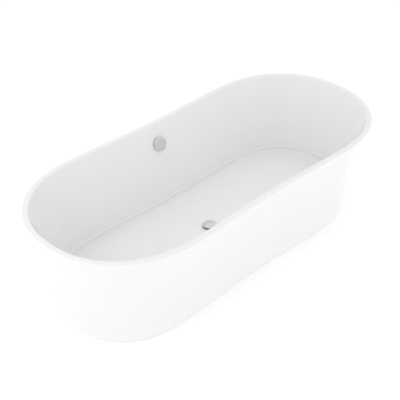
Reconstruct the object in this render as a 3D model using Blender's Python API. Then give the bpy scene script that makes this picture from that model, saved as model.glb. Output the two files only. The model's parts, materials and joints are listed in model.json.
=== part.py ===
"""Freestanding bathtub: acrylic basin and flared skirt on a steel frame with levelling feet.

Metres, +Z up. The origin is on the floor, under the middle of the tub. X runs along the tub.
"""

import math

import bmesh
import bpy
import numpy as np
from mathutils import Vector

# Overall size
LENGTH = 1.800
END_WIDTH = 0.802
WAIST_DIP = 0.012
HEIGHT = 0.500
END_LENGTH = 0.435
END_POWER = 2.17

# Shells: each profile point is a height and how far the surface lies inside the rim's outline
FLOOR_HEIGHT = 0.106
BASIN_WALL = 0.006
SKIRT_WALL = 0.005
LIP_WIDTH = 0.024
LIP_THICKNESS = 0.006
GAP = 0.0003
SKIRT_CLEARANCE = 0.002
SKIRT_PROFILE = [
    (SKIRT_CLEARANCE, 0.101),
    (0.050, 0.0915),
    (0.150, 0.0855),
    (0.250, 0.0745),
    (0.350, 0.0530),
    (0.425, 0.0290),
    (0.475, 0.0130),
    (HEIGHT - LIP_THICKNESS - GAP, 0.003),
]
BASIN_PROFILE = [
    (HEIGHT, LIP_WIDTH),
    (0.445, 0.045),
    (0.365, 0.071),
    (0.280, 0.094),
    (0.200, 0.108),
    (0.145, 0.117),
    (0.120, 0.126),
    (0.109, 0.139),
    (FLOOR_HEIGHT, 0.156),
]
AROUND = 64

# Rim bead, between the skirt's inner face and the basin's outer face
BEAD_OUTER_INSET = 0.0145
BEAD_INNER_INSET = 0.0190
BEAD_HEIGHT = 0.008

# Drain; its heights are measured from the basin's floor
FLOOR_HOLE_RADIUS = 0.0305
TAIL_RADIUS = 0.024
TAIL_BORE = 0.0215
TAIL_END = -0.036
PLATE_RADIUS = 0.0355
PLATE_LOW = 0.0016
PLATE_HIGH = 0.0036
GASKET_THICKNESS = 0.003
WASTE_NUT_HEIGHT = 0.010
WASTE_BORE = 0.0246
WASTE_RADIUS = 0.029
WASTE_SHOULDER = -0.072
OUTLET_BORE = 0.017
OUTLET_RADIUS = 0.021
OUTLET_END = -0.090
CAP_RADIUS = 0.031
CAP_LIFT = 0.0096
CARTRIDGE_LOW = -0.034
CARTRIDGE_HIGH = -0.012
STEM_RADIUS = 0.003
SPRING_TURNS = 5
SPRING_RADIUS = 0.0058
SPRING_WIRE = 0.0007

# Overflow; its heights are measured out of the wall into the tub
OVERFLOW_HEIGHT = 0.4075
OVERFLOW_HOLE_RADIUS = 0.020
COVER_RADIUS = 0.034
COVER_STAND = 0.0070
DRUM_RADIUS = 0.028
DRUM_BACK = -0.0150
DRUM_WALL = 0.0012
DUCT_WIDTH = 0.044
DUCT_DEPTH = 0.0064
DUCT_WALL = 0.0012
DUCT_LEVEL = 0.055
DUCT_CORNER_Y = 0.283
DUCT_BENDS = (0.31, 0.26, 0.20, 0.16)
ROUND_SIDES = 24
SMALL_SIDES = 16

# Base board, frame and feet
BOARD_INSET = 0.175
BOARD_THICKNESS = 0.012
BOARD_HOLE_RADIUS = 0.042
TUBE = 0.020
TUBE_WALL = 0.002
RAIL_LENGTH = 1.260
RAIL_Y = 0.130
FOOT_X = 0.53
FOOT_Y = 0.200
CROSS_X = {"left": -FOOT_X, "mid_left": -0.19, "mid_right": 0.19, "right": FOOT_X}
CROSS_LENGTH = 0.500
STUD_RADIUS = 0.0048
STUD_TOP_MARGIN = 0.004
NUT_BORE = 0.0052
STUD_HOLE_RADIUS = 0.0065
NUT_RADIUS = 0.0095
NUT_HEIGHT = 0.008
NUT_STEPS = 24
PAD_RADIUS = 0.022
PAD_EDGE = 0.005
PAD_HEIGHT = 0.014
PAD_SOCKET = 0.006
PAD_SOCKET_RADIUS = 0.0056
BRACKET_WIDTH = 0.040
BRACKET_THICKNESS = 0.003
BRACKET_HEIGHT = 0.028
BRACKET_INNER_Y = 0.226
BRACKET_OUTER_Y = 0.296
CUT_REACH = 0.03

BOARD_TOP = FLOOR_HEIGHT - BASIN_WALL - GAP
BOARD_BOTTOM = BOARD_TOP - BOARD_THICKNESS
RAIL_Z = BOARD_BOTTOM - GAP - TUBE / 2
CROSS_Z = RAIL_Z - TUBE - GAP
NUT_TOP = CROSS_Z - TUBE / 2 - GAP


def material(name, color, roughness, metallic=0.0, coat=0.0):
    found = bpy.data.materials.get(name)
    if found:
        return found
    made = bpy.data.materials.new(name)
    made.use_nodes = True
    shader = made.node_tree.nodes["Principled BSDF"]
    shader.inputs["Base Color"].default_value = (*color, 1)
    shader.inputs["Roughness"].default_value = roughness
    shader.inputs["Metallic"].default_value = metallic
    shader.inputs["Coat Weight"].default_value = coat
    return made


def acrylic():
    return material("white_acrylic", (0.88, 0.88, 0.88), 0.18, coat=0.4)


def chrome():
    return material("chrome", (0.75, 0.75, 0.76), 0.08, 1.0)


def steel():
    return material("zinc_plated_steel", (0.55, 0.56, 0.58), 0.35, 1.0)


def rubber():
    return material("black_rubber", (0.03, 0.03, 0.03), 0.7)


def pipe_plastic():
    return material("grey_plastic", (0.45, 0.46, 0.47), 0.5)


def board_material():
    return material("base_board", (0.50, 0.38, 0.24), 0.8)


def add_object(name, mesh, surface):
    mesh.materials.append(surface)
    made = bpy.data.objects.new(name, mesh)
    bpy.context.scene.collection.objects.link(made)
    return made


def mesh_from(name, points, faces, smooth_angle=40):
    """A mesh with all its faces pointing out, smooth where faces meet at a small angle."""
    work = bmesh.new()
    corners = [work.verts.new(p) for p in points]
    for face in faces:
        work.faces.new([corners[i] for i in face])
    bmesh.ops.recalc_face_normals(work, faces=work.faces)
    mesh = bpy.data.meshes.new(name)
    work.to_mesh(mesh)
    work.free()
    mesh.shade_smooth()
    mesh.set_sharp_from_angle(angle=math.radians(smooth_angle))
    return mesh


def rim_outline():
    """The rim seen from above: round ends on a middle that narrows slightly, evenly spaced points."""
    middle = LENGTH / 2 - END_LENGTH
    half = END_WIDTH / 2
    turn = np.linspace(0, math.pi / 2, 400)
    end_x = middle + END_LENGTH * np.cos(turn) ** (2 / END_POWER)
    end_y = half * np.sin(turn) ** (2 / END_POWER)
    side_x = np.linspace(middle, 0, 400)[1:]
    side_y = half - WAIST_DIP * (1 + np.cos(math.pi * side_x / middle)) / 2
    quarter = np.column_stack([np.append(end_x, side_x), np.append(end_y, side_y)])
    steps = np.linalg.norm(np.diff(quarter, axis=0), axis=1)
    along = np.append(0, np.cumsum(steps))
    wanted = np.linspace(0, along[-1], AROUND // 4 + 1)
    xs = np.interp(wanted, along, quarter[:, 0])
    ys = np.interp(wanted, along, quarter[:, 1])
    first = np.column_stack([xs, ys])
    second = first[-2::-1] * [-1, 1]
    upper = np.vstack([first, second])
    lower = upper[-2:0:-1] * [1, -1]
    return np.vstack([upper, lower])


RIM = rim_outline()


def ring(inset, height):
    """The rim's outline moved inwards by inset, at a height."""
    along = np.roll(RIM, -1, axis=0) - np.roll(RIM, 1, axis=0)
    inward = np.column_stack([-along[:, 1], along[:, 0]])
    inward /= np.linalg.norm(inward, axis=1)[:, None]
    flat = RIM + inward * inset
    return [(x, y, height) for x, y in flat]


def loft(rings, closed):
    """Faces between neighbouring rings, and from the last to the first where closed."""
    count = len(rings[0])
    points = [p for one in rings for p in one]
    faces = []
    last = len(rings) if closed else len(rings) - 1
    for r in range(last):
        low, high = r * count, (r + 1) % len(rings) * count
        for i in range(count):
            j = (i + 1) % count
            faces.append((low + i, low + j, high + j, high + i))
    return points, faces


def offset_profile(profile, distance):
    """A (height, inset) profile moved by distance: inwards if it runs upwards, outwards if downwards."""
    moved = []
    for i, (height, inset) in enumerate(profile):
        before = profile[max(i - 1, 0)]
        after = profile[min(i + 1, len(profile) - 1)]
        rise, run = after[0] - before[0], after[1] - before[1]
        size = math.hypot(rise, run)
        moved.append((height - distance * run / size, inset + distance * rise / size))
    return moved


def profile_inset(profile, height):
    """The inset of a profile at a height between its points."""
    ordered = sorted(profile)
    return float(np.interp(height, [p[0] for p in ordered], [p[1] for p in ordered]))


def lathe(name, surface, profile, centre=(0, 0, 0), sides=ROUND_SIDES, phase=0.0):
    """A solid turned about Z. The profile is a closed loop of (radius, height) points."""
    points, rows = [], []
    for radius, height in profile:
        if radius == 0:
            rows.append([len(points)] * sides)
            points.append((0, 0, height))
            continue
        rows.append(list(range(len(points), len(points) + sides)))
        for k in range(sides):
            angle = phase + 2 * math.pi * k / sides
            points.append((radius * math.cos(angle), radius * math.sin(angle), height))
    faces = []
    for r, row in enumerate(rows):
        other = rows[(r + 1) % len(rows)]
        for k in range(sides):
            j = (k + 1) % sides
            corners = [row[k], row[j], other[j], other[k]]
            face = list(dict.fromkeys(corners))
            if len(face) > 2:
                faces.append(face)
    made = add_object(name, mesh_from(name, points, faces), surface)
    made.location = centre
    return made


def cylinder_profile(radius, low, high):
    return [(0, low), (radius, low), (radius, high), (0, high)]


def tube_profile(bore, radius, low, high):
    return [(bore, low), (radius, low), (radius, high), (bore, high)]


def box(name, surface, low, high):
    points = [(x, y, z) for x in (low[0], high[0]) for y in (low[1], high[1]) for z in (low[2], high[2])]
    faces = [(0, 1, 3, 2), (4, 6, 7, 5), (0, 4, 5, 1), (2, 3, 7, 6), (0, 2, 6, 4), (1, 5, 7, 3)]
    return add_object(name, mesh_from(name, points, faces), surface)


def boolean(target, tool, operation="DIFFERENCE"):
    """Cuts or joins a hidden tool object."""
    tool.hide_render = True
    tool.display_type = "WIRE"
    step = target.modifiers.new(tool.name, "BOOLEAN")
    step.operation = operation
    step.solver = "EXACT"
    step.object = tool


def cutting_cylinder(name, radius, centre, sides=ROUND_SIDES):
    return lathe(name, steel(), cylinder_profile(radius, -CUT_REACH, CUT_REACH), centre, sides)


def wall_frame():
    """The middle of the overflow on the basin's far wall, and how far the wall leans out there."""
    low, high = BASIN_PROFILE[2], BASIN_PROFILE[1]
    lean = math.atan2(low[1] - high[1], high[0] - low[0])
    half = END_WIDTH / 2 - WAIST_DIP
    y = half - profile_inset(BASIN_PROFILE, OVERFLOW_HEIGHT)
    return Vector((0, y, OVERFLOW_HEIGHT)), lean


def face_the_tub(made):
    """Turns an object's +Z to point out of the far wall into the tub, at the overflow."""
    centre, lean = wall_frame()
    made.location = centre
    made.rotation_euler = (math.pi / 2 - lean, 0, 0)
    return made


def basin():
    """The tub itself: inner wall, flat lip, outer wall and floor, with the two holes."""
    inner = BASIN_PROFILE
    outer = offset_profile(inner, BASIN_WALL)
    inner_rings = [ring(inset, height) for height, inset in inner]
    below_lip = HEIGHT - LIP_THICKNESS
    neck = profile_inset(outer, below_lip)
    outer_rings = [ring(inset, height) for height, inset in outer[1:-1]]
    bottom = ring(inner[-1][1], FLOOR_HEIGHT - BASIN_WALL)
    rings = [*reversed(inner_rings), ring(0, HEIGHT), ring(0, below_lip), ring(neck, below_lip)]
    rings += [*outer_rings, bottom]
    points, faces = loft(rings, closed=False)
    faces.append(tuple(range(AROUND)))
    faces.append(tuple(range(len(points) - AROUND, len(points))))
    made = add_object("basin", mesh_from("basin", points, faces), acrylic())
    drain = (0, 0, FLOOR_HEIGHT)
    boolean(made, cutting_cylinder("drain_cutter", FLOOR_HOLE_RADIUS, drain))
    hole = cutting_cylinder("overflow_cutter", OVERFLOW_HOLE_RADIUS, (0, 0, 0))
    boolean(made, face_the_tub(hole))


def skirt():
    inner = offset_profile(SKIRT_PROFILE, SKIRT_WALL)
    inner[0] = (SKIRT_PROFILE[0][0], inner[0][1])
    inner[-1] = (SKIRT_PROFILE[-1][0], inner[-1][1])
    rings = [ring(inset, height) for height, inset in SKIRT_PROFILE]
    rings += [ring(inset, height) for height, inset in reversed(inner)]
    points, faces = loft(rings, closed=True)
    add_object("skirt", mesh_from("skirt", points, faces), acrylic())


def rim_bead():
    """The bead of adhesive that bonds the skirt under the basin's lip."""
    top = HEIGHT - LIP_THICKNESS - GAP
    low = top - BEAD_HEIGHT
    corners_of_bead = (
        (BEAD_OUTER_INSET, low),
        (BEAD_OUTER_INSET, top),
        (BEAD_INNER_INSET, top),
        (BEAD_INNER_INSET, low),
    )
    rings = [ring(inset, height) for inset, height in corners_of_bead]
    points, faces = loft(rings, closed=True)
    add_object("rim_bead", mesh_from("rim_bead", points, faces), rubber())


def base_board():
    low, high = ring(BOARD_INSET, BOARD_BOTTOM), ring(BOARD_INSET, BOARD_TOP)
    points, faces = loft([low, high], closed=False)
    faces.append(tuple(range(AROUND)))
    faces.append(tuple(range(AROUND, 2 * AROUND)))
    made = add_object("base_board", mesh_from("base_board", points, faces), board_material())
    boolean(made, cutting_cylinder("board_cutter", BOARD_HOLE_RADIUS, (0, 0, BOARD_BOTTOM)))


def square_tube(name, length, along_x, centre):
    """A square steel tube with open ends."""
    points = []
    for end in (-length / 2, length / 2):
        for half in (TUBE / 2, TUBE / 2 - TUBE_WALL):
            for side, up in ((-half, -half), (half, -half), (half, half), (-half, half)):
                points.append((end, side, up) if along_x else (side, end, up))
    faces = []
    for i in range(4):
        j = (i + 1) % 4
        faces += [(i, j, 8 + j, 8 + i), (4 + i, 4 + j, 12 + j, 12 + i)]
        faces += [(i, j, 4 + j, 4 + i), (8 + i, 8 + j, 12 + j, 12 + i)]
    made = add_object(name, mesh_from(name, points, faces), steel())
    made.location = centre
    return made


def frame():
    for side, y in (("front", -RAIL_Y), ("back", RAIL_Y)):
        square_tube("frame_rail_" + side, RAIL_LENGTH, True, (0, y, RAIL_Z))
    for side, x in CROSS_X.items():
        made = square_tube("cross_member_" + side, CROSS_LENGTH, False, (x, 0, CROSS_Z))
        if abs(x) != FOOT_X:
            continue
        for y in (-FOOT_Y, FOOT_Y):
            name = f"stud_hole_{side}_{'front' if y < 0 else 'back'}"
            hole = cutting_cylinder(name, STUD_HOLE_RADIUS, (x, y, CROSS_Z), SMALL_SIDES)
            boolean(made, hole)


def corners():
    """The four foot positions, numbered round the tub from the front left."""
    places = [(-FOOT_X, -FOOT_Y), (FOOT_X, -FOOT_Y), (FOOT_X, FOOT_Y), (-FOOT_X, FOOT_Y)]
    return list(enumerate(places, start=1))


def feet():
    stud_low, stud_high = PAD_SOCKET + GAP, CROSS_Z + TUBE / 2 - STUD_TOP_MARGIN
    nut = tube_profile(NUT_BORE, NUT_RADIUS, NUT_TOP - NUT_HEIGHT, NUT_TOP)
    pad = [
        (0, 0),
        (PAD_RADIUS, 0),
        (PAD_RADIUS, PAD_EDGE),
        (PAD_RADIUS * 0.55, PAD_HEIGHT),
        (PAD_SOCKET_RADIUS, PAD_HEIGHT),
        (PAD_SOCKET_RADIUS, PAD_SOCKET),
        (0, PAD_SOCKET),
    ]
    for number, (x, y) in corners():
        stud = cylinder_profile(STUD_RADIUS, stud_low, stud_high)
        lathe(f"foot_stud_{number}", steel(), stud, (x, y, 0), SMALL_SIDES)
        bored_hexagon(f"foot_nut_{number}", nut, (x, y, 0))
        lathe(f"foot_pad_{number}", rubber(), pad, (x, y, 0), ROUND_SIDES)


def bored_hexagon(name, profile, centre):
    """A hexagon nut: six flats outside and a round bore, both from one set of directions."""
    bore, radius, low, high = profile[0][0], profile[1][0], profile[0][1], profile[2][1]
    points = []
    for height in (low, high):
        for outside in (True, False):
            for k in range(NUT_STEPS):
                angle = 2 * math.pi * k / NUT_STEPS
                within = (angle + math.pi / 6) % (math.pi / 3) - math.pi / 6
                flat = radius * math.cos(math.pi / 6) / math.cos(within)
                size = flat if outside else bore
                points.append((size * math.cos(angle), size * math.sin(angle), height))
    faces = []
    for i in range(NUT_STEPS):
        j = (i + 1) % NUT_STEPS
        outer_low, bore_low, outer_high, bore_high = [
            (row * NUT_STEPS + i, row * NUT_STEPS + j) for row in range(4)
        ]
        for one, other in (
            (outer_low, outer_high),
            (bore_low, bore_high),
            (outer_low, bore_low),
            (outer_high, bore_high),
        ):
            faces.append((one[0], one[1], other[1], other[0]))
    made = add_object(name, mesh_from(name, points, faces), steel())
    made.location = centre
    return made


def skirt_brackets():
    """Angle brackets that tie the cross members' ends to the skirt."""
    low = CROSS_Z + TUBE / 2 + GAP
    for number, (x, y) in corners():
        side = math.copysign(1, y)
        outline = [
            (BRACKET_INNER_Y, low),
            (BRACKET_OUTER_Y, low),
            (BRACKET_OUTER_Y, low + BRACKET_HEIGHT),
            (BRACKET_OUTER_Y - BRACKET_THICKNESS, low + BRACKET_HEIGHT),
            (BRACKET_OUTER_Y - BRACKET_THICKNESS, low + BRACKET_THICKNESS),
            (BRACKET_INNER_Y, low + BRACKET_THICKNESS),
        ]
        count = len(outline)
        ends = (x - BRACKET_WIDTH / 2, x + BRACKET_WIDTH / 2)
        points = [(end, side * across, up) for end in ends for across, up in outline]
        faces = [tuple(range(count)), tuple(range(count, 2 * count))]
        faces += [(i, (i + 1) % count, count + (i + 1) % count, count + i) for i in range(count)]
        name = f"skirt_bracket_{number}"
        add_object(name, mesh_from(name, points, faces), steel())


def waste():
    """The drain: flange, gaskets, nut, body and the click-clack plug with its spring."""
    at = (0, 0, FLOOR_HEIGHT)
    below = -BASIN_WALL - GAP
    flange = [
        (PLATE_RADIUS, PLATE_LOW),
        (PLATE_RADIUS, PLATE_HIGH),
        (0.0285, PLATE_HIGH),
        (0.0285, -0.0010),
        (TAIL_BORE, -0.0040),
        (TAIL_BORE, TAIL_END),
        (TAIL_RADIUS, TAIL_END),
        (TAIL_RADIUS, -0.0058),
        (0.0300, -0.0030),
        (0.0300, PLATE_LOW),
    ]
    lathe("waste_flange", chrome(), flange, at)
    upper = tube_profile(0.0308, 0.0350, GAP, PLATE_LOW - GAP)
    lathe("waste_gasket_upper", rubber(), upper, at)
    lower = tube_profile(0.0250, 0.0365, below - GASKET_THICKNESS, below)
    lathe("waste_gasket_lower", rubber(), lower, at)
    nut_top = below - GASKET_THICKNESS - GAP
    nut = tube_profile(WASTE_BORE, 0.0385, nut_top - WASTE_NUT_HEIGHT, nut_top)
    bored_hexagon("waste_nut", nut, at)
    waste_body(at, nut_top - WASTE_NUT_HEIGHT - GAP)
    plug(at)


def waste_body(at, top):
    """A pot round the flange's tail, with the outlet below and the overflow's inlet behind."""
    shell = [
        (WASTE_BORE, top),
        (WASTE_BORE, WASTE_SHOULDER + 0.004),
        (OUTLET_BORE, WASTE_SHOULDER - 0.002),
        (OUTLET_BORE, OUTLET_END),
        (OUTLET_RADIUS, OUTLET_END),
        (OUTLET_RADIUS, WASTE_SHOULDER - 0.006),
        (WASTE_RADIUS, WASTE_SHOULDER),
        (WASTE_RADIUS, top),
    ]
    made = lathe("waste_body", pipe_plastic(), shell, at)
    up = DUCT_DEPTH / 2 + 0.003
    low, high = (-0.022, 0.0262, DUCT_LEVEL - up), (0.022, 0.0450, DUCT_LEVEL + up)
    boolean(made, box("inlet_stub", pipe_plastic(), low, high), "UNION")
    up = DUCT_DEPTH / 2
    low, high = (-0.014, 0, DUCT_LEVEL - up), (0.014, 0.080, DUCT_LEVEL + up)
    boolean(made, box("inlet_cutter", pipe_plastic(), low, high))


def plug(at):
    """The pop-up cap with its seal and stem, the cartridge on its spider, and the spring."""
    cap = [
        (0, CAP_LIFT),
        (CAP_RADIUS, CAP_LIFT),
        (CAP_RADIUS, CAP_LIFT + 0.0040),
        (CAP_RADIUS * 0.9, CAP_LIFT + 0.0055),
        (0, CAP_LIFT + 0.0070),
    ]
    lathe("waste_cap", chrome(), cap, at)
    seal = tube_profile(0.0215, 0.0265, CAP_LIFT - 0.0020, CAP_LIFT - GAP)
    lathe("waste_seal", rubber(), seal, at)
    stem = cylinder_profile(STEM_RADIUS, -0.026, CAP_LIFT - GAP)
    lathe("waste_stem", chrome(), stem, at, SMALL_SIDES)
    cartridge = tube_profile(0.0034, 0.0090, CARTRIDGE_LOW, CARTRIDGE_HIGH)
    made = lathe("waste_cartridge", pipe_plastic(), cartridge, at)
    reach = TAIL_BORE * math.cos(math.pi / ROUND_SIDES) - GAP
    for quarter in range(4):
        low, high = (0.0060, -0.0015, -0.030), (reach, 0.0015, -0.024)
        arm = box(f"spider_arm_{quarter}", pipe_plastic(), low, high)
        arm.location = at
        arm.rotation_euler = (0, 0, quarter * math.pi / 2)
        boolean(made, arm, "UNION")
    spring(at, CARTRIDGE_HIGH + 0.0010, CAP_LIFT - 0.0010)


def spring(at, low, high):
    """The compression spring that lifts the plug, a round wire wound about the stem."""
    per_turn = 10
    line = bpy.data.curves.new("waste_spring", "CURVE")
    line.dimensions = "3D"
    line.bevel_depth = SPRING_WIRE
    line.bevel_resolution = 0
    line.use_fill_caps = True
    path = line.splines.new("POLY")
    count = SPRING_TURNS * per_turn + 1
    path.points.add(count - 1)
    for i in range(count):
        angle = 2 * math.pi * i / per_turn
        height = low + (high - low) * i / (count - 1)
        across, along = SPRING_RADIUS * math.cos(angle), SPRING_RADIUS * math.sin(angle)
        path.points[i].co = (across, along, height, 1)
    line.resolution_u = 1
    line.render_resolution_u = 0
    line.materials.append(steel())
    made = bpy.data.objects.new("waste_spring", line)
    made.location = at
    bpy.context.scene.collection.objects.link(made)


def overflow():
    """The cover on its stem, the threaded collar, the washer and the flat drum behind the wall."""
    cover = [
        (0, -0.0125),
        (0.0040, -0.0125),
        (0.0040, COVER_STAND),
        (COVER_RADIUS, COVER_STAND),
        (COVER_RADIUS, COVER_STAND + 0.0030),
        (COVER_RADIUS - 0.0015, COVER_STAND + 0.0045),
        (0, COVER_STAND + 0.0045),
    ]
    face_the_tub(lathe("overflow_cover", chrome(), cover))
    collar = [
        (0.0160, -0.0066),
        (0.0194, -0.0066),
        (0.0194, GAP),
        (0.0255, GAP),
        (0.0255, 0.0025),
        (0.0160, 0.0025),
    ]
    face_the_tub(lathe("overflow_collar", chrome(), collar))
    outside = -BASIN_WALL - GAP
    gasket_low = outside - 0.0008
    gasket = tube_profile(0.0225, 0.0275, gasket_low, outside)
    face_the_tub(lathe("overflow_gasket", rubber(), gasket))
    top = gasket_low - GAP
    drum = [
        (0, DRUM_BACK),
        (DRUM_RADIUS, DRUM_BACK),
        (DRUM_RADIUS, top),
        (0.0225, top),
        (0.0225, DRUM_BACK + DRUM_WALL),
        (0, DRUM_BACK + DRUM_WALL),
    ]
    made = face_the_tub(lathe("overflow_body", pipe_plastic(), drum))
    slot = box("overflow_slot", pipe_plastic(), (-0.012, -0.040, -0.0136), (0.012, -0.015, -0.0092))
    boolean(made, face_the_tub(slot))


def overflow_pipe():
    """A flat duct down between the shells, then level under the floor to the waste body."""
    half = END_WIDTH / 2 - WAIST_DIP
    centre, lean = wall_frame()
    start = DRUM_RADIUS + 0.001
    top = centre.z - start * math.cos(lean) + DRUM_BACK * math.sin(lean)
    path = []
    for height in (top, *DUCT_BENDS):
        outer = profile_inset(SKIRT_PROFILE, height) + SKIRT_WALL
        inner = profile_inset(BASIN_PROFILE, height) - BASIN_WALL
        path.append((half - (outer + inner) / 2, height))
    path += [(DUCT_CORNER_Y, 0.125), (DUCT_CORNER_Y, DUCT_LEVEL + 0.01)]
    path += [(DUCT_CORNER_Y - 0.01, DUCT_LEVEL), (0.0453, DUCT_LEVEL)]
    stations = []
    for i, (y, z) in enumerate(path):
        before, after = path[max(i - 1, 0)], path[min(i + 1, len(path) - 1)]
        along = Vector((after[0] - before[0], after[1] - before[1])).normalized()
        across = Vector((-along.y, along.x))
        for half_width, half_depth in (
            (DUCT_WIDTH / 2, DUCT_DEPTH / 2),
            (DUCT_WIDTH / 2 - DUCT_WALL, DUCT_DEPTH / 2 - DUCT_WALL),
        ):
            for sx, sn in ((-1, -1), (1, -1), (1, 1), (-1, 1)):
                moved = Vector((y, z)) + across * sn * half_depth
                stations.append((sx * half_width, moved.x, moved.y))
    faces = []
    for s in range(len(path) - 1):
        here, there = 8 * s, 8 * (s + 1)
        for i in range(4):
            j = (i + 1) % 4
            faces.append((here + i, here + j, there + j, there + i))
            faces.append((here + 4 + i, here + 4 + j, there + 4 + j, there + 4 + i))
    for end in (0, 8 * (len(path) - 1)):
        for i in range(4):
            j = (i + 1) % 4
            faces.append((end + i, end + j, end + 4 + j, end + 4 + i))
    add_object("overflow_pipe", mesh_from("overflow_pipe", stations, faces), pipe_plastic())


def main():
    for old in list(bpy.data.objects):
        bpy.data.objects.remove(old)
    basin()
    skirt()
    rim_bead()
    base_board()
    frame()
    feet()
    skirt_brackets()
    waste()
    overflow()
    overflow_pipe()
    bpy.context.view_layer.update()


main()
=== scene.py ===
"""The looks of the freestanding bathtub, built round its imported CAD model."""

import json
import math

import bmesh
import bpy
import numpy as np
from mathutils import Matrix, Vector


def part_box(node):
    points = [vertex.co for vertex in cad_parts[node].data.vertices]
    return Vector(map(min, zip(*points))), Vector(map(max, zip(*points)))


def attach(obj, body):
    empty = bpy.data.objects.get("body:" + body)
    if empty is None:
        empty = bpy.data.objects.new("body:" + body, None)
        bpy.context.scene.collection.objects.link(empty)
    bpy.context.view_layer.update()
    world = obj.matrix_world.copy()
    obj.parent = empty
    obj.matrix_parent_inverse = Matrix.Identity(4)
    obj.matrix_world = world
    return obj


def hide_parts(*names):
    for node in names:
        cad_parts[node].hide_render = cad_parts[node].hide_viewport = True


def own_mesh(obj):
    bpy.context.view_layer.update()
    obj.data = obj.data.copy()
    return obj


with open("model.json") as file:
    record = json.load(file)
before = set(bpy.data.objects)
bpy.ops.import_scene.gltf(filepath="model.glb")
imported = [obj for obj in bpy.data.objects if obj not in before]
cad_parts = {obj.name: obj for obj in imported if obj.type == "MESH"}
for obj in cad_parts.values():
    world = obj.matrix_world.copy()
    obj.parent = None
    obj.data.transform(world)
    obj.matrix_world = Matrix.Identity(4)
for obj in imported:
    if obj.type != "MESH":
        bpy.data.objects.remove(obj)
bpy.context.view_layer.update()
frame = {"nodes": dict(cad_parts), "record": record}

# Camera: angles in degrees, metres, and shares of the image's width
CAMERA_AZIMUTH = -46.5
CAMERA_ELEVATION = 37.47
CAMERA_ROLL = 1.0
CAMERA_DISTANCE = 3.916
CAMERA_TARGET = Vector((-0.165, -0.266, 0.318))
CAMERA_FOCAL = 2.312
CAMERA_CENTRE = (0.5668, 0.575)
CAMERA_REACH = 100.0
SENSOR = 36.0

# The tub's plan, as in the CAD model: round ends on a middle that narrows slightly
HALF_LENGTH = 0.900
HALF_WIDTH = 0.401
WAIST_DIP = 0.012
END_LENGTH = 0.435
END_POWER = 2.17
END_SAMPLES = 2000
SIDE_SAMPLES = 1000

# How finely the shells and the turned pieces are divided, and the sharpest edge shaded smooth
AROUND = 320
NORMAL_SPAN = 2
ROUND_SIDES = 96
SMOOTH_ANGLE = 35

# Shells: a profile's point is a height and how far the surface lies inside the rim's outline
HEIGHT = 0.500
FLOOR_HEIGHT = 0.106
SKIRT_WALL = 0.005
SKIRT_STEPS = 7
SKIRT_PROFILE = [
    (0.002, 0.101),
    (0.050, 0.0915),
    (0.150, 0.0855),
    (0.250, 0.0745),
    (0.350, 0.0530),
    (0.425, 0.0290),
    (0.475, 0.0130),
    (0.4937, 0.003),
]
SKIRT_FOOT = [(0.002, 0.1032), (0.0028, 0.1016)]
BASIN_WALL = 0.006
WALL_STEPS = 8
WALL_PROFILE = [
    (0.445, 0.045),
    (0.365, 0.071),
    (0.280, 0.094),
    (0.200, 0.108),
    (0.145, 0.117),
]
FLOOR_BEND = 0.030
FLOOR_BEND_INSET = 0.005
FLOOR_BEND_START = 172
FLOOR_BEND_STEPS = 14

# Lip: its rounded outer edge, the rounded mouth and the underside, measured down from the rim
LIP_WIDTH = 0.024
LIP_ROLL = 0.0045
LIP_STEPS = 8
LIP_UNDERSIDE = [(0.0050, 0.0), (0.0055, 0.0020), (0.0060, 0.0026), (0.0060, 0.0180)]
MOUTH_ROUND = 0.004
MOUTH_CENTRE_SHARE = 0.69
WALL_LEAN = 21
OUTER_WALL_DROP = 0.013

# Overflow cover; its heights are measured out of the wall into the tub
OVERFLOW_HEIGHT = 0.4075
OVERFLOW_HOLE_RADIUS = 0.020
COVER_RADIUS = 0.034
COVER_BACK = 0.0070
COVER_FRONT = 0.0115
COVER_EDGE = 0.0012
COVER_EDGE_LIFT = 0.0022
COVER_BACK_SETBACK = 0.002
COVER_DISH = 0.0004
COVER_DISH_SHARE = 0.86
COVER_FLAT_SHARE = 0.6
COVER_STEM_RADIUS = 0.004
COVER_STEM_END = -0.0125

# Plug cap; its heights are measured from its underside
CAP_LIFT = 0.0096
CAP_RADIUS = 0.031
CAP_SETBACK = 0.001
CAP_EDGE = 0.0014
CAP_EDGE_LIFT = 0.0018
CAP_TOP = 0.0070
CAP_DOME = 0.0036
CAP_SHARES = (0.85, 0.7, 0.5, 0.3, 0.15)

# Drain flange: a radius and a height from the tub's floor for each point
DRAIN_HOLE_RADIUS = 0.0305
FLANGE_RING = [
    (0.0355, 0.0016),
    (0.0355, 0.0026),
    (0.0345, 0.0036),
    (0.0295, 0.0036),
    (0.0285, 0.0026),
    (0.0285, -0.0010),
]
TAIL_BORE = [(0.0215, -0.0040), (0.0215, -0.0360), (0.0236, -0.0360)]
FLANGE_UNDERSIDE = [(0.0240, -0.0058), (0.0300, -0.0030), (0.0300, 0.0016)]
TAIL_RADIUS = 0.0240
TAIL_ROOT_RADIUS = 0.0234
TAIL_THREAD_LOW = -0.0350
TAIL_PITCH = 0.0016
TAIL_THREADS = 12

# Levelling studs and the plug's spring
STUD_PITCH = 0.0015
STUD_THREAD_DEPTH = 0.0008
STUD_SIDES = 32
SPRING_TURNS = 5
SPRING_TURN_STEPS = 32
SPRING_RADIUS = 0.0058
SPRING_WIRE = 0.0007

# Surfaces
COAT_ROUGHNESS = 0.04
RELIEF_DEPTH = 0.0005

# Studio: the glow keeps the floor white round the tub
SKY = 0.89
FLOOR_GREY = 0.80
FLOOR_ROUGHNESS = 0.9
FLOOR_GLOW = 0.33
FLOOR_REACH = 30.0

# Area lights: name, place, target, size, and power in watts
AREA_LIGHTS = [
    ("key", (-2.5, -3.0, 3.2), (0, 0, 0.3), (2.5, 2.5), 1.5),
    ("overhead", (-1.9, 0.2, 2.4), (0.8, 0, 0.3), (1.6, 1.6), 6),
]


# ---------------------------------------------------------------- materials


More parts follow.
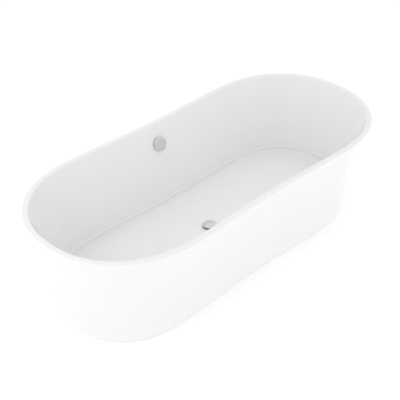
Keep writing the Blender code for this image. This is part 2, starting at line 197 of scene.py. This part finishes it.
def add_noise(nodes, links, scale):
    place = nodes.new("ShaderNodeTexCoord")
    noise = nodes.new("ShaderNodeTexNoise")
    noise.inputs["Scale"].default_value = scale
    noise.inputs["Detail"].default_value = 4.0
    links.new(place.outputs["Object"], noise.inputs["Vector"])
    return noise


def textured(name, low, high, rough, scale, bump=0.0, metallic=0.0, coat=0.0):
    """A Principled material whose colour, roughness and relief vary a little over the surface."""
    made = bpy.data.materials.new(name)
    made.use_nodes = True
    nodes = made.node_tree.nodes
    links = made.node_tree.links
    shader = nodes["Principled BSDF"]
    shader.inputs["Metallic"].default_value = metallic
    shader.inputs["Coat Weight"].default_value = coat
    shader.inputs["Coat Roughness"].default_value = COAT_ROUGHNESS
    noise = add_noise(nodes, links, scale)
    ramp = nodes.new("ShaderNodeValToRGB")
    ramp.color_ramp.elements[0].color = (*low, 1)
    ramp.color_ramp.elements[1].color = (*high, 1)
    links.new(noise.outputs["Fac"], ramp.inputs["Fac"])
    links.new(ramp.outputs["Color"], shader.inputs["Base Color"])
    spread = nodes.new("ShaderNodeMapRange")
    spread.inputs["To Min"].default_value = rough[0]
    spread.inputs["To Max"].default_value = rough[1]
    links.new(noise.outputs["Fac"], spread.inputs["Value"])
    links.new(spread.outputs["Result"], shader.inputs["Roughness"])
    if bump:
        relief = nodes.new("ShaderNodeBump")
        relief.inputs["Strength"].default_value = bump
        relief.inputs["Distance"].default_value = RELIEF_DEPTH
        links.new(noise.outputs["Fac"], relief.inputs["Height"])
        links.new(relief.outputs["Normal"], shader.inputs["Normal"])
    return made


def grey(value):
    return (value, value, value)


def acrylic():
    return textured("gloss_acrylic", grey(0.915), grey(0.935), (0.09, 0.14), 9.0, 0.02, coat=0.5)


def chrome():
    return textured("polished_chrome", grey(0.70), grey(0.78), (0.04, 0.09), 60.0, metallic=1.0)


def steel():
    return textured("zinc_plate", grey(0.42), grey(0.62), (0.25, 0.45), 90.0, 0.2, metallic=1.0)


def rubber():
    return textured("black_rubber", grey(0.018), grey(0.045), (0.55, 0.75), 200.0, 0.3)


def plastic():
    return textured("moulded_plastic", grey(0.40), grey(0.48), (0.38, 0.52), 160.0, 0.15)


def board():
    dark, light = (0.30, 0.21, 0.12), (0.62, 0.48, 0.31)
    return textured("particle_board", dark, light, (0.65, 0.85), 240.0, 0.6)


def bead():
    return textured("cured_sealant", grey(0.74), grey(0.82), (0.35, 0.50), 120.0, 0.2)


MATERIALS = {
    "acrylic": acrylic(),
    "chrome": chrome(),
    "steel": steel(),
    "rubber": rubber(),
    "plastic": plastic(),
    "board": board(),
    "bead": bead(),
}


# ---------------------------------------------------------------- meshes


def add_object(name, mesh, slot):
    mesh.materials.clear()
    mesh.materials.append(MATERIALS[slot])
    made = bpy.data.objects.new(name, mesh)
    bpy.context.scene.collection.objects.link(made)
    return made


def solid(name, points, faces, slot):
    """A closed mesh with its faces pointing out, smooth where faces meet at a small angle."""
    work = bmesh.new()
    corners = [work.verts.new(p) for p in points]
    for face in faces:
        work.faces.new([corners[i] for i in face])
    bmesh.ops.recalc_face_normals(work, faces=work.faces)
    mesh = bpy.data.meshes.new(name)
    work.to_mesh(mesh)
    work.free()
    mesh.shade_smooth()
    mesh.set_sharp_from_angle(angle=math.radians(SMOOTH_ANGLE))
    return add_object(name, mesh, slot)


def stand_in(made, body, node):
    """Makes an object ride on a body and stand for a CAD node."""
    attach(made, body)
    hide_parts(node)


def piece(name, points, faces, slot, body, node):
    made = solid(name, points, faces, slot)
    stand_in(made, body, node)
    return made


def mesh_of(made):
    """The mesh of an object with its modifiers applied, or of a curve."""
    bpy.context.view_layer.update()
    graph = bpy.context.evaluated_depsgraph_get()
    return bpy.data.meshes.new_from_object(made.evaluated_get(graph))


def spline(profile, steps):
    """A smooth curve through a profile's points, as more points."""
    data = np.array(profile)
    along = np.append(0, np.cumsum(np.linalg.norm(np.diff(data, axis=0), axis=1)))
    slopes = np.gradient(data, along, axis=0)
    made = [tuple(data[0])]
    for i in range(len(data) - 1):
        span = along[i + 1] - along[i]
        for t in np.linspace(0, 1, steps + 1)[1:]:
            start = (2 * t**3 - 3 * t**2 + 1) * data[i] + (t**3 - 2 * t**2 + t) * span * slopes[i]
            end = (3 * t**2 - 2 * t**3) * data[i + 1] + (t**3 - t**2) * span * slopes[i + 1]
            made.append(tuple(start + end))
    return made


def rim_outline():
    """The rim seen from above, as evenly spaced points."""
    middle = HALF_LENGTH - END_LENGTH
    turn = np.linspace(0, math.pi / 2, END_SAMPLES)
    end_x = middle + END_LENGTH * np.cos(turn) ** (2 / END_POWER)
    end_y = HALF_WIDTH * np.sin(turn) ** (2 / END_POWER)
    side_x = np.linspace(middle, 0, SIDE_SAMPLES)[1:]
    side_y = HALF_WIDTH - WAIST_DIP * (1 + np.cos(math.pi * side_x / middle)) / 2
    quarter = np.column_stack([np.append(end_x, side_x), np.append(end_y, side_y)])
    along = np.append(0, np.cumsum(np.linalg.norm(np.diff(quarter, axis=0), axis=1)))
    wanted = np.linspace(0, along[-1], AROUND // 4 + 1)
    first = np.column_stack([np.interp(wanted, along, quarter[:, k]) for k in (0, 1)])
    upper = np.vstack([first, first[-2::-1] * [-1, 1]])
    return np.vstack([upper, upper[-2:0:-1] * [1, -1]])


RIM = rim_outline()


def ring(inset, height):
    """The rim's outline moved inwards by inset, at a height."""
    along = np.roll(RIM, -NORMAL_SPAN, axis=0) - np.roll(RIM, NORMAL_SPAN, axis=0)
    inward = np.column_stack([-along[:, 1], along[:, 0]])
    inward /= np.linalg.norm(inward, axis=1)[:, None]
    flat = RIM + inward * inset
    return [(x, y, height) for x, y in flat]


def loft(profile, closed):
    """Points and faces of a profile's rings. The ends are capped unless the profile is closed."""
    points = [p for height, inset in profile for p in ring(inset, height)]
    faces = []
    count = len(profile)
    for r in range(count if closed else count - 1):
        low = r * AROUND
        high = (r + 1) % count * AROUND
        for i in range(AROUND):
            j = (i + 1) % AROUND
            faces.append((low + i, low + j, high + j, high + i))
    if not closed:
        faces.append(tuple(range(AROUND)))
        faces.append(tuple(range(len(points) - AROUND, len(points))))
    return points, faces


def offset(profile, distance):
    """A profile moved by distance: inwards if it runs upwards, outwards if downwards."""
    data = np.array(profile)
    along = np.gradient(data, axis=0)
    along /= np.linalg.norm(along, axis=1)[:, None]
    sideways = np.column_stack([-along[:, 1], along[:, 0]])
    return [tuple(p) for p in data + distance * sideways]


def arc(centre, radius, start, end, steps):
    """Points of a (height, inset) arc. Angle 0 points to a larger inset, and 90 degrees up."""
    turns = np.radians(np.linspace(start, end, steps + 1))
    return [(centre[0] + radius * math.sin(a), centre[1] + radius * math.cos(a)) for a in turns]


def round_edge(radius, edge, middle, start, end, steps):
    """The (radius, height) points of a disc's rounded edge."""
    centre = (middle, radius - edge)
    return [(across, height) for height, across in arc(centre, edge, start, end, steps)]


def spun(profile, sides=ROUND_SIDES):
    """Points and faces of a closed (radius, height) profile turned about Z."""
    points, rows, faces = [], [], []
    for radius, height in profile:
        if radius == 0:
            rows.append([len(points)] * sides)
            points.append((0, 0, height))
            continue
        rows.append(list(range(len(points), len(points) + sides)))
        for k in range(sides):
            angle = 2 * math.pi * k / sides
            points.append((radius * math.cos(angle), radius * math.sin(angle), height))
    for r, row in enumerate(rows):
        other = rows[(r + 1) % len(rows)]
        for k in range(sides):
            j = (k + 1) % sides
            face = list(dict.fromkeys([row[k], row[j], other[j], other[k]]))
            if len(face) > 2:
                faces.append(face)
    return points, faces


def moved(points, matrix):
    return [tuple(matrix @ Vector(p)) for p in points]


# ---------------------------------------------------------------- shells


def cut_hole(target, matrix, radius, reach=0.03):
    """Cuts a round hole along a matrix's Z axis."""
    points, faces = spun([(0, -reach), (radius, -reach), (radius, reach), (0, reach)])
    cutter = solid("cutter", moved(points, matrix), faces, "acrylic")
    step = target.modifiers.new("hole", "BOOLEAN")
    step.operation = "DIFFERENCE"
    step.solver = "EXACT"
    step.object = cutter
    mesh = mesh_of(target)
    mesh.set_sharp_from_angle(angle=math.radians(SMOOTH_ANGLE))
    target.modifiers.clear()
    target.data = mesh
    bpy.data.objects.remove(cutter)


def overflow_place():
    """Where the overflow sits on the far wall: a matrix whose Z points into the tub."""
    (high, high_inset), (low, low_inset) = WALL_PROFILE[0], WALL_PROFILE[1]
    lean = math.atan2(low_inset - high_inset, high - low)
    share = (high - OVERFLOW_HEIGHT) / (high - low)
    inset = high_inset + share * (low_inset - high_inset)
    y = HALF_WIDTH - WAIST_DIP - inset
    return Matrix.Translation((0, y, OVERFLOW_HEIGHT)) @ Matrix.Rotation(math.pi / 2 - lean, 4, "X")


def basin_inside():
    """The profile of the rounded mouth, the inner wall and the bend into the flat floor."""
    mouth_centre = (HEIGHT - MOUTH_ROUND, LIP_WIDTH - MOUTH_CENTRE_SHARE * MOUTH_ROUND)
    mouth = arc(mouth_centre, MOUTH_ROUND, 90, WALL_LEAN, LIP_STEPS)
    wall = spline([mouth[-1], *WALL_PROFILE], WALL_STEPS)[1:]
    bend_inset = WALL_PROFILE[-1][1] + FLOOR_BEND_INSET + FLOOR_BEND
    bend_centre = (FLOOR_HEIGHT + FLOOR_BEND, bend_inset)
    bend = arc(bend_centre, FLOOR_BEND, FLOOR_BEND_START, 270, FLOOR_BEND_STEPS)
    return [*mouth, *wall, *bend]


def basin():
    """The tub from its floor up over the rolled lip and down its outer wall, with both holes."""
    inside = basin_inside()
    roll = arc((HEIGHT - LIP_ROLL, LIP_ROLL), LIP_ROLL, 90, 180, LIP_STEPS)
    under = [(HEIGHT - drop, inset) for drop, inset in LIP_UNDERSIDE]
    outside = [p for p in offset(inside, BASIN_WALL) if p[0] < HEIGHT - OUTER_WALL_DROP]
    points, faces = loft([*inside[::-1], *roll, *under, *outside], closed=False)
    made = piece("basin_shell", points, faces, "acrylic", "tub", "basin")
    cut_hole(made, Matrix.Translation((0, 0, FLOOR_HEIGHT)), DRAIN_HOLE_RADIUS)
    cut_hole(made, overflow_place(), OVERFLOW_HOLE_RADIUS)


def skirt():
    """The flared apron, with a small chamfer at its foot."""
    outside = [*SKIRT_FOOT, *spline(SKIRT_PROFILE, SKIRT_STEPS)[1:]]
    inside = offset(outside, SKIRT_WALL)
    inside[0] = (outside[0][0], inside[0][1])
    inside[-1] = (outside[-1][0], inside[-1][1])
    points, faces = loft([*outside, *inside[::-1]], closed=True)
    piece("skirt_shell", points, faces, "acrylic", "tub", "skirt")


# ---------------------------------------------------------------- fittings


def overflow_cover():
    """A disc with a rounded edge and a slight dome, on its stem."""
    profile = [(0, COVER_STEM_END), (COVER_STEM_RADIUS, COVER_STEM_END)]
    profile += [(COVER_STEM_RADIUS, COVER_BACK), (COVER_RADIUS - COVER_BACK_SETBACK, COVER_BACK)]
    profile += round_edge(COVER_RADIUS, COVER_EDGE, COVER_BACK + COVER_EDGE_LIFT, -90, 90, 8)
    profile.append((COVER_RADIUS * COVER_DISH_SHARE, COVER_FRONT - COVER_DISH))
    profile += [(COVER_RADIUS * COVER_FLAT_SHARE, COVER_FRONT), (0, COVER_FRONT)]
    points, faces = spun(profile)
    placed = moved(points, overflow_place())
    piece("overflow_disc", placed, faces, "chrome", "tub", "overflow_cover")


def waste_cap():
    """The domed plug cap with a rounded edge."""
    low = FLOOR_HEIGHT + CAP_LIFT
    profile = [(0, low), (CAP_RADIUS - CAP_SETBACK, low)]
    profile += round_edge(CAP_RADIUS, CAP_EDGE, low + CAP_EDGE_LIFT, -80, 70, 7)
    for share in CAP_SHARES:
        profile.append((CAP_RADIUS * share, low + CAP_TOP - CAP_DOME * share**2))
    profile.append((0, low + CAP_TOP))
    points, faces = spun(profile)
    piece("plug_cap", points, faces, "chrome", "plug", "waste_cap")


def waste_flange():
    """The drain's flange with a turned lip, a seat for the plug and a threaded tail."""
    profile = [*FLANGE_RING, *TAIL_BORE]
    for i in range(TAIL_THREADS):
        foot = TAIL_THREAD_LOW + TAIL_PITCH * i
        profile += [(TAIL_RADIUS, foot), (TAIL_ROOT_RADIUS, foot + TAIL_PITCH / 2)]
    profile += FLANGE_UNDERSIDE
    points, faces = spun([(radius, FLOOR_HEIGHT + height) for radius, height in profile])
    piece("drain_flange", points, faces, "chrome", "tub", "waste_flange")


def stud(number):
    """A levelling stud, with grooves for its screw thread."""
    node = f"foot_stud_{number}"
    low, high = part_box(node)
    centre = (low + high) / 2
    radius = (high.x - low.x) / 2
    root = radius - STUD_THREAD_DEPTH
    profile = [(0, low.z), (root, low.z)]
    for i in range(int((high.z - low.z) / STUD_PITCH) - 1):
        foot = low.z + STUD_PITCH * (i + 0.5)
        profile += [(radius, foot), (root, foot + STUD_PITCH / 2)]
    profile += [(root, high.z), (0, high.z)]
    points, faces = spun(profile, STUD_SIDES)
    placed = moved(points, Matrix.Translation((centre.x, centre.y, 0)))
    piece(f"threaded_stud_{number}", placed, faces, "steel", f"stud_{number}", node)


def spring_curve(low, high):
    """A wire wound as a helix between two heights."""
    line = bpy.data.curves.new("plug_spring", "CURVE")
    line.dimensions = "3D"
    line.bevel_depth = SPRING_WIRE
    line.bevel_resolution = 3
    line.use_fill_caps = True
    path = line.splines.new("POLY")
    steps = SPRING_TURNS * SPRING_TURN_STEPS
    path.points.add(steps)
    for i, point in enumerate(path.points):
        angle = 2 * math.pi * i / SPRING_TURN_STEPS
        height = low + SPRING_WIRE + (high - low - 2 * SPRING_WIRE) * i / steps
        point.co = (SPRING_RADIUS * math.cos(angle), SPRING_RADIUS * math.sin(angle), height, 1)
    return line


def spring():
    """The plug's spring, as a fixed wire helix; the real one is squeezed as the plug goes down."""
    low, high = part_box("waste_spring")
    rough = bpy.data.objects.new("plug_spring", spring_curve(low.z, high.z))
    bpy.context.scene.collection.objects.link(rough)
    mesh = mesh_of(rough)
    bpy.data.objects.remove(rough)
    mesh.shade_smooth()
    made = add_object("plug_spring", mesh, "steel")
    stand_in(made, "tub", "waste_spring")
    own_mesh(made)


def dress_cad():
    """Gives each CAD node the material of its slot, and the bead under the rim its own."""
    slots = {row["node"]: row["material_slot"] for row in frame["record"]["subparts"]}
    slots["rim_bead"] = "bead"
    for name, node in frame["nodes"].items():
        node.data.materials.clear()
        node.data.materials.append(MATERIALS[slots[name]])


# ---------------------------------------------------------------- stage


def floor_material():
    made = bpy.data.materials.new("studio_floor")
    made.use_nodes = True
    shader = made.node_tree.nodes["Principled BSDF"]
    shader.inputs["Base Color"].default_value = (*grey(FLOOR_GREY), 1)
    shader.inputs["Roughness"].default_value = FLOOR_ROUGHNESS
    shader.inputs["Emission Color"].default_value = (1, 1, 1, 1)
    shader.inputs["Emission Strength"].default_value = FLOOR_GLOW
    return made


def stage_floor():
    """A plain pale floor, large enough to reach past the view."""
    mesh = bpy.data.meshes.new("studio_floor")
    low, high = -FLOOR_REACH, FLOOR_REACH
    corners = [(low, low, 0), (high, low, 0), (high, high, 0), (low, high, 0)]
    mesh.from_pydata(corners, [], [(0, 1, 2, 3)])
    mesh.materials.append(floor_material())
    floor = bpy.data.objects.new("studio_floor", mesh)
    bpy.context.scene.collection.objects.link(floor)


def area_light(name, place, target, size, power):
    data = bpy.data.lights.new(name, "AREA")
    data.shape = "RECTANGLE"
    data.size, data.size_y = size
    data.energy = power
    made = bpy.data.objects.new(name, data)
    made.location = place
    made.rotation_euler = (Vector(target) - Vector(place)).to_track_quat("-Z", "Y").to_euler()
    bpy.context.scene.collection.objects.link(made)


def sky():
    world = bpy.data.worlds.new("studio")
    world.use_nodes = True
    background = world.node_tree.nodes["Background"]
    background.inputs["Color"].default_value = (1, 1, 1, 1)
    background.inputs["Strength"].default_value = SKY
    bpy.context.scene.world = world


def camera():
    data = bpy.data.cameras.new("camera")
    data.sensor_width = SENSOR
    data.lens = SENSOR * CAMERA_FOCAL
    data.shift_x = 0.5 - CAMERA_CENTRE[0]
    data.shift_y = CAMERA_CENTRE[1] - 0.5
    data.clip_end = CAMERA_REACH
    made = bpy.data.objects.new("camera", data)
    azimuth = math.radians(CAMERA_AZIMUTH)
    elevation = math.radians(CAMERA_ELEVATION)
    level = Vector((math.sin(azimuth), -math.cos(azimuth), 0)) * math.cos(elevation)
    back = level + Vector((0, 0, math.sin(elevation)))
    turn = (-back).to_track_quat("-Z", "Y").to_matrix().to_4x4()
    roll = Matrix.Rotation(math.radians(CAMERA_ROLL), 4, "Z")
    place = Matrix.Translation(CAMERA_TARGET + back * CAMERA_DISTANCE)
    made.matrix_world = place @ turn @ roll
    bpy.context.scene.collection.objects.link(made)
    bpy.context.scene.camera = made
    bpy.context.scene.view_settings.view_transform = "Standard"


dress_cad()
basin()
skirt()
overflow_cover()
waste_cap()
waste_flange()
for stud_number in range(1, 5):
    stud(stud_number)
spring()
stage_floor()
sky()
for light in AREA_LIGHTS:
    area_light(*light)
camera()
